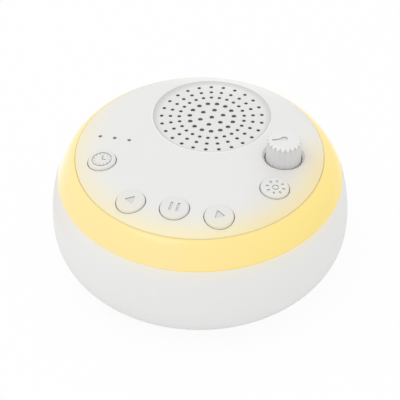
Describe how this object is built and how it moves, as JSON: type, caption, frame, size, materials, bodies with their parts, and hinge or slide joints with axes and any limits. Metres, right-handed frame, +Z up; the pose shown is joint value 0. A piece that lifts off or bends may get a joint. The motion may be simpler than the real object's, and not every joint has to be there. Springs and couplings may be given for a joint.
{
  "type": "white noise sound machine",
  "caption": "Round table-top white noise machine with a domed key panel, speaker grille, volume knob and a glowing frosted ring.",
  "frame": {"origin": "middle of the footprint, on the surface that the rubber feet stand on", "axes": "+Z up, -Y towards the user (row of three keys), +X to the user's right (volume knob)"},
  "size_m": [0.114, 0.114, 0.0557],
  "materials": {
    "housing_white": "fine satin moulded ABS",
    "cover_white": "fine satin moulded ABS",
    "ring_frosted": "frosted translucent polycarbonate, lit warm from behind",
    "key_white": "satin moulded ABS with engraved signs",
    "knob_white": "semi-gloss moulded ABS",
    "shaft_metal": "turned",
    "pot_body": "moulded",
    "plunger_black": "moulded nylon",
    "switch_body": "moulded with pressed steel cover",
    "light_pipe": "smoked clear acrylic",
    "led_yellow": "diode with phosphor",
    "board_green": "glass epoxy board with solder mask",
    "board_white": "white solder mask",
    "screw_steel": "zinc plated",
    "chip_black": "moulded epoxy",
    "capacitor_sleeve": "shrunk sleeve",
    "socket_ivory": "moulded nylon",
    "reflector_white": "moulded",
    "basket_steel": "pressed steel",
    "plate_steel": "zinc plated",
    "magnet_ferrite": "sintered ferrite",
    "cone_paper": "pressed paper pulp",
    "cap_paper": "pressed paper pulp",
    "coil_copper": "enamelled copper wire",
    "surround_rubber": "moulded",
    "spider_cloth": "phenolic cloth",
    "terminal_board": "phenolic paper",
    "gasket_foam": "closed-cell foam",
    "retainer_grey": "moulded ABS",
    "jack_black": "moulded",
    "contact_brass": "turned",
    "lead_sleeve": "insulated wire",
    "foot_rubber": "moulded"
  },
  "bodies": {
    "housing": {"lower_housing": "housing_white", "light_ring": "ring_frosted", "top_cover": "cover_white", "volume_potentiometer": "pot_body", "switch_bodies": "switch_body", "indicator_light_pipes": "light_pipe", "indicator_leds": "led_yellow", "control_board": "board_green", "control_board_screws": "screw_steel", "audio_chips": "chip_black", "capacitors": "capacitor_sleeve", "board_connectors": "socket_ivory", "light_board": "board_white", "ring_leds": "led_yellow", "light_board_screws": "screw_steel", "light_reflector": "reflector_white", "speaker_basket": "basket_steel", "speaker_top_plate": "plate_steel", "speaker_magnet": "magnet_ferrite", "speaker_yoke": "plate_steel", "speaker_terminal": "terminal_board", "speaker_gasket": "gasket_foam", "speaker_retainer": "retainer_grey", "retainer_screws": "screw_steel", "power_board": "board_green", "power_jack": "jack_black", "jack_contact": "contact_brass", "power_board_screws": "screw_steel", "speaker_leads": "lead_sleeve", "light_board_leads": "lead_sleeve", "power_leads": "lead_sleeve", "housing_screws": "screw_steel", "rubber_feet": "foot_rubber"},
    "knob": {"volume_knob": "knob_white", "volume_shaft": "shaft_metal"},
    "timer_key": {"timer_button": "key_white", "timer_plunger": "plunger_black"},
    "previous_key": {"previous_button": "key_white", "previous_plunger": "plunger_black"},
    "play_pause_key": {"play_pause_button": "key_white", "play_pause_plunger": "plunger_black"},
    "next_key": {"next_button": "key_white", "next_plunger": "plunger_black"},
    "light_key": {"light_button": "key_white", "light_plunger": "plunger_black"},
    "cone": {"speaker_cone": "cone_paper", "dust_cap": "cap_paper", "voice_coil": "coil_copper", "speaker_surround": "surround_rubber", "speaker_spider": "spider_cloth"}
  },
  "joints": [
    {"name": "knob_turn", "type": "hinge", "parent": "housing", "child": "knob", "pos_m": [0.0312, 0.0017, 0.05], "axis": [0, 0, 1], "range_deg": [-150, 150]},
    {"name": "timer_press", "type": "slide", "parent": "housing", "child": "timer_key", "axis": [0, 0, -1], "range_m": [0, 0.0005], "stiffness_N_per_m": 1500, "springref_m": -0.0004},
    {"name": "previous_press", "type": "slide", "parent": "housing", "child": "previous_key", "axis": [0, 0, -1], "range_m": [0, 0.0005], "stiffness_N_per_m": 1500, "springref_m": -0.0004},
    {"name": "play_pause_press", "type": "slide", "parent": "housing", "child": "play_pause_key", "axis": [0, 0, -1], "range_m": [0, 0.0005], "stiffness_N_per_m": 1500, "springref_m": -0.0004},
    {"name": "next_press", "type": "slide", "parent": "housing", "child": "next_key", "axis": [0, 0, -1], "range_m": [0, 0.0005], "stiffness_N_per_m": 1500, "springref_m": -0.0004},
    {"name": "light_press", "type": "slide", "parent": "housing", "child": "light_key", "axis": [0, 0, -1], "range_m": [0, 0.0005], "stiffness_N_per_m": 1500, "springref_m": -0.0004},
    {"name": "cone_stroke", "type": "slide", "parent": "housing", "child": "cone", "axis": [0, 0, 1], "range_m": [-0.0008, 0.0008], "stiffness_N_per_m": 1800, "deforming": ["speaker_surround", "speaker_spider"]}
  ]
}
